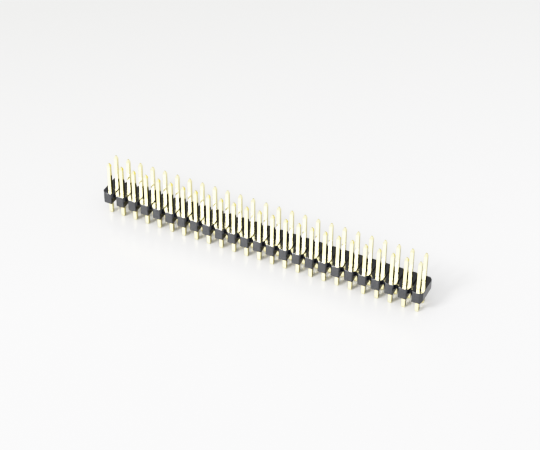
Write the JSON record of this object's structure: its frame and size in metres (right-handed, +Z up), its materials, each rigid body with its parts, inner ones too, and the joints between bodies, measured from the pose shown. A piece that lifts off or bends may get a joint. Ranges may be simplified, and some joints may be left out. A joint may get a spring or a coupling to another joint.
{
  "type": "pin header strip",
  "caption": "Straight breakaway double-row pin header: gold-plated square pins pressed through a notched black insulator strip on a 2.54 mm grid.",
  "frame": {"origin": "middle of the footprint, on the surface that the tips of the solder tails stand on", "axes": "+X along the strip, +Y across the two rows from the front row to the back row, +Z up along the pins towards their mating ends"},
  "size_m": [0.0632, 0.005, 0.0113],
  "materials": {
    "black_moulding": "semi-gloss black moulded plastic",
    "gold_plating": "bright pale gold plating over brass wire"
  },
  "bodies": {
    "root": {"housing": "black_moulding", "front_pin_01": "gold_plating", "front_pin_02": "gold_plating", "front_pin_03": "gold_plating", "front_pin_04": "gold_plating", "front_pin_05": "gold_plating", "front_pin_06": "gold_plating", "front_pin_07": "gold_plating", "front_pin_08": "gold_plating", "front_pin_09": "gold_plating", "front_pin_10": "gold_plating", "front_pin_11": "gold_plating", "front_pin_12": "gold_plating", "front_pin_13": "gold_plating", "front_pin_14": "gold_plating", "front_pin_15": "gold_plating", "front_pin_16": "gold_plating", "front_pin_17": "gold_plating", "front_pin_18": "gold_plating", "front_pin_19": "gold_plating", "front_pin_20": "gold_plating", "front_pin_21": "gold_plating", "front_pin_22": "gold_plating", "front_pin_23": "gold_plating", "front_pin_24": "gold_plating", "front_pin_25": "gold_plating", "back_pin_01": "gold_plating", "back_pin_02": "gold_plating", "back_pin_03": "gold_plating", "back_pin_04": "gold_plating", "back_pin_05": "gold_plating", "back_pin_06": "gold_plating", "back_pin_07": "gold_plating", "back_pin_08": "gold_plating", "back_pin_09": "gold_plating", "back_pin_10": "gold_plating", "back_pin_11": "gold_plating", "back_pin_12": "gold_plating", "back_pin_13": "gold_plating", "back_pin_14": "gold_plating", "back_pin_15": "gold_plating", "back_pin_16": "gold_plating", "back_pin_17": "gold_plating", "back_pin_18": "gold_plating", "back_pin_19": "gold_plating", "back_pin_20": "gold_plating", "back_pin_21": "gold_plating", "back_pin_22": "gold_plating", "back_pin_23": "gold_plating", "back_pin_24": "gold_plating", "back_pin_25": "gold_plating"}
  },
  "joints": []
}
